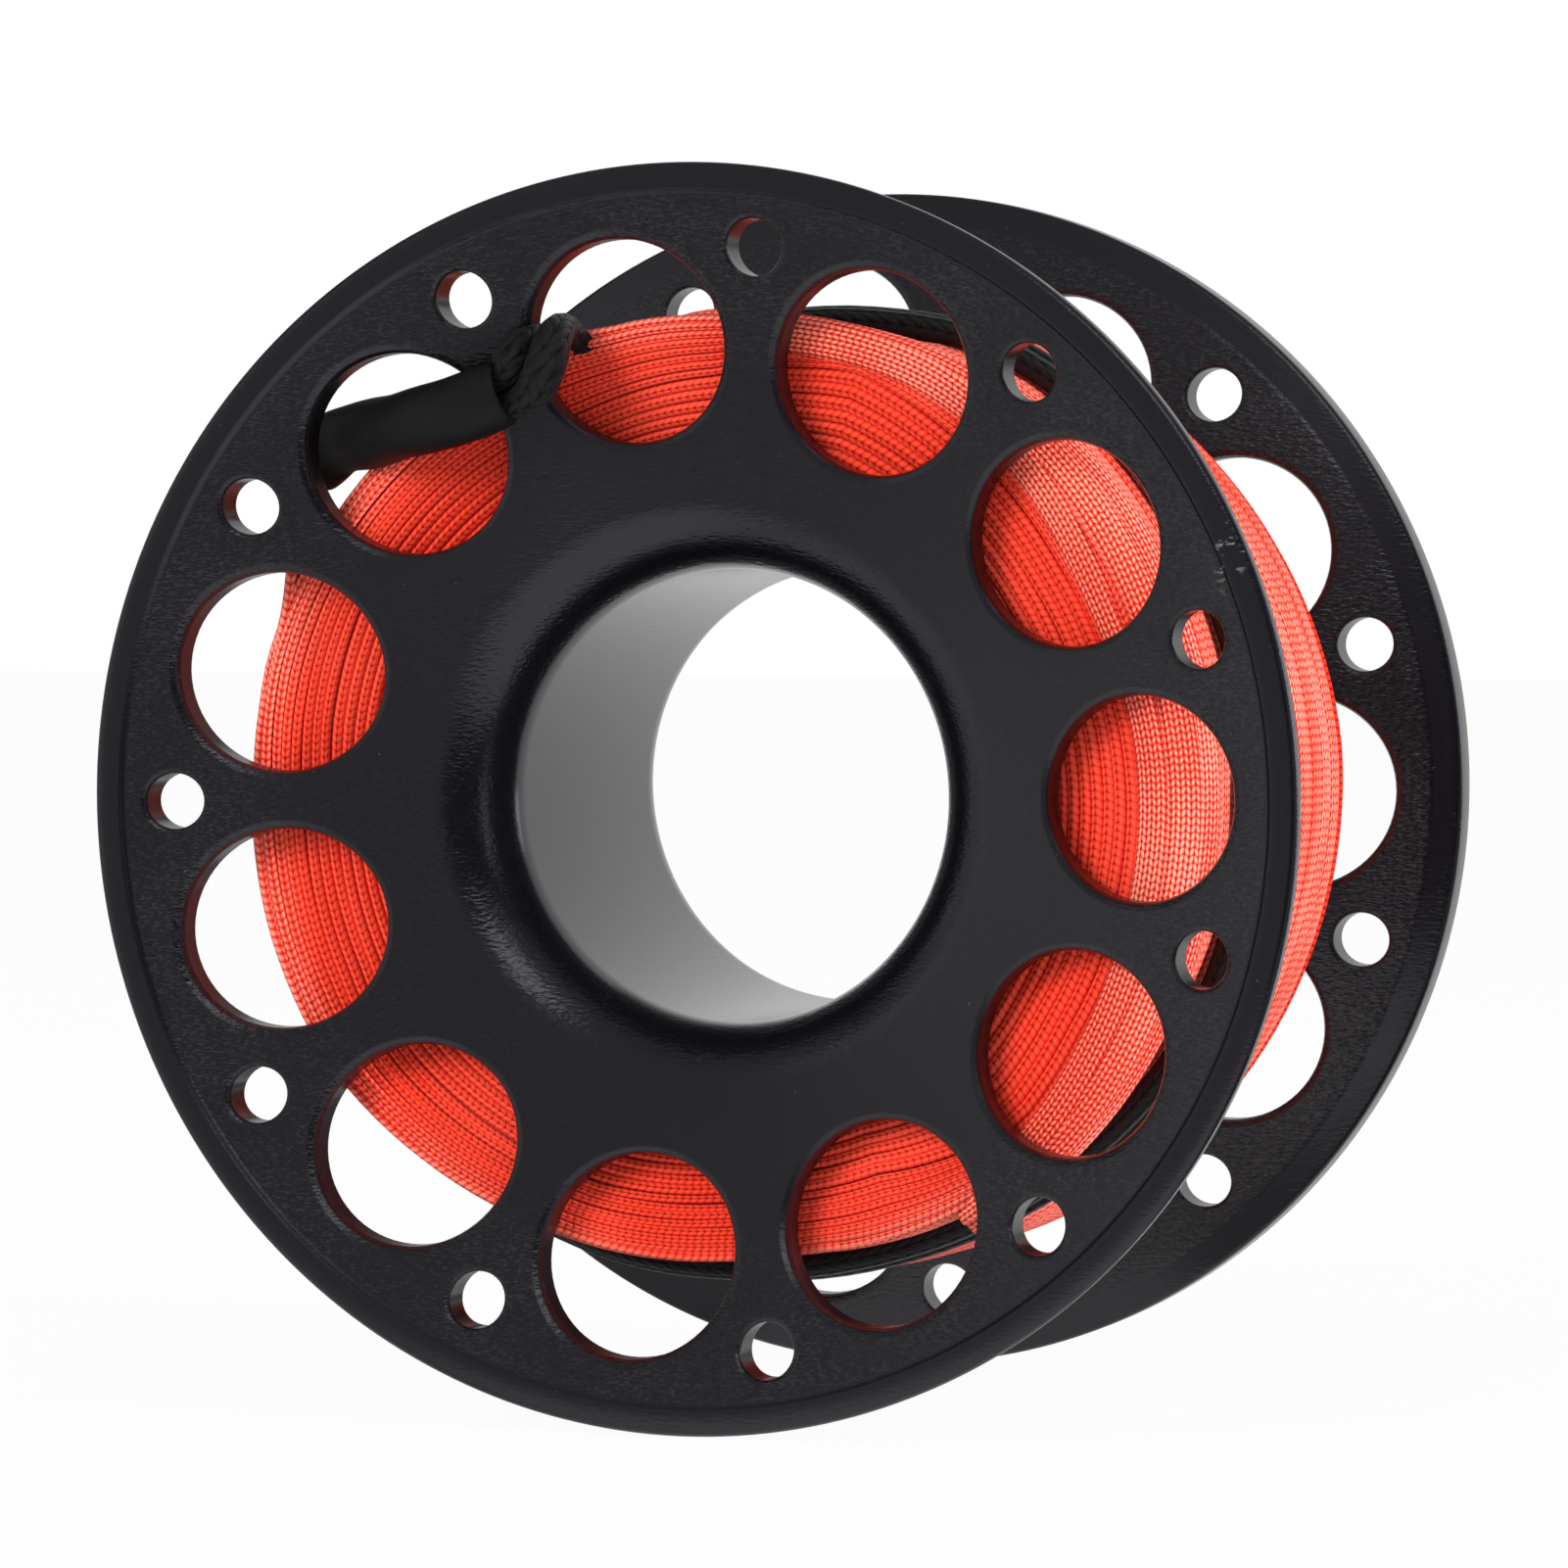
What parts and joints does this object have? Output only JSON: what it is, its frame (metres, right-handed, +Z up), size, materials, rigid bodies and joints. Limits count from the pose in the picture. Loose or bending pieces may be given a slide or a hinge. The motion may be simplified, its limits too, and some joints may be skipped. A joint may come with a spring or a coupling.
{
  "type": "finger spool",
  "caption": "Dished black metal finger spool with drilled flanges, a wide flared bore, wound orange line and a doubled black leader.",
  "frame": {"origin": "middle of the finger bore, on the spool's axis and half way between the rims", "axes": "+Y along the spool's axis from the front flange to the rear one, +Z up as in the picture, +X to the right seen from the front"},
  "size_m": [0.095, 0.0559, 0.095],
  "materials": {
    "anodised_metal": "blasted and black anodised, satin",
    "orange_line": "flat woven braid",
    "black_cord": "round braid",
    "shrink_tube": "smooth, matte"
  },
  "bodies": {
    "root": {"front_flange_and_barrel": "anodised_metal", "rear_flange": "anodised_metal", "line_inner_layers": "orange_line", "line_outer_layer": "orange_line", "leader_cord": "black_cord", "leader_sleeve": "shrink_tube"}
  },
  "joints": []
}
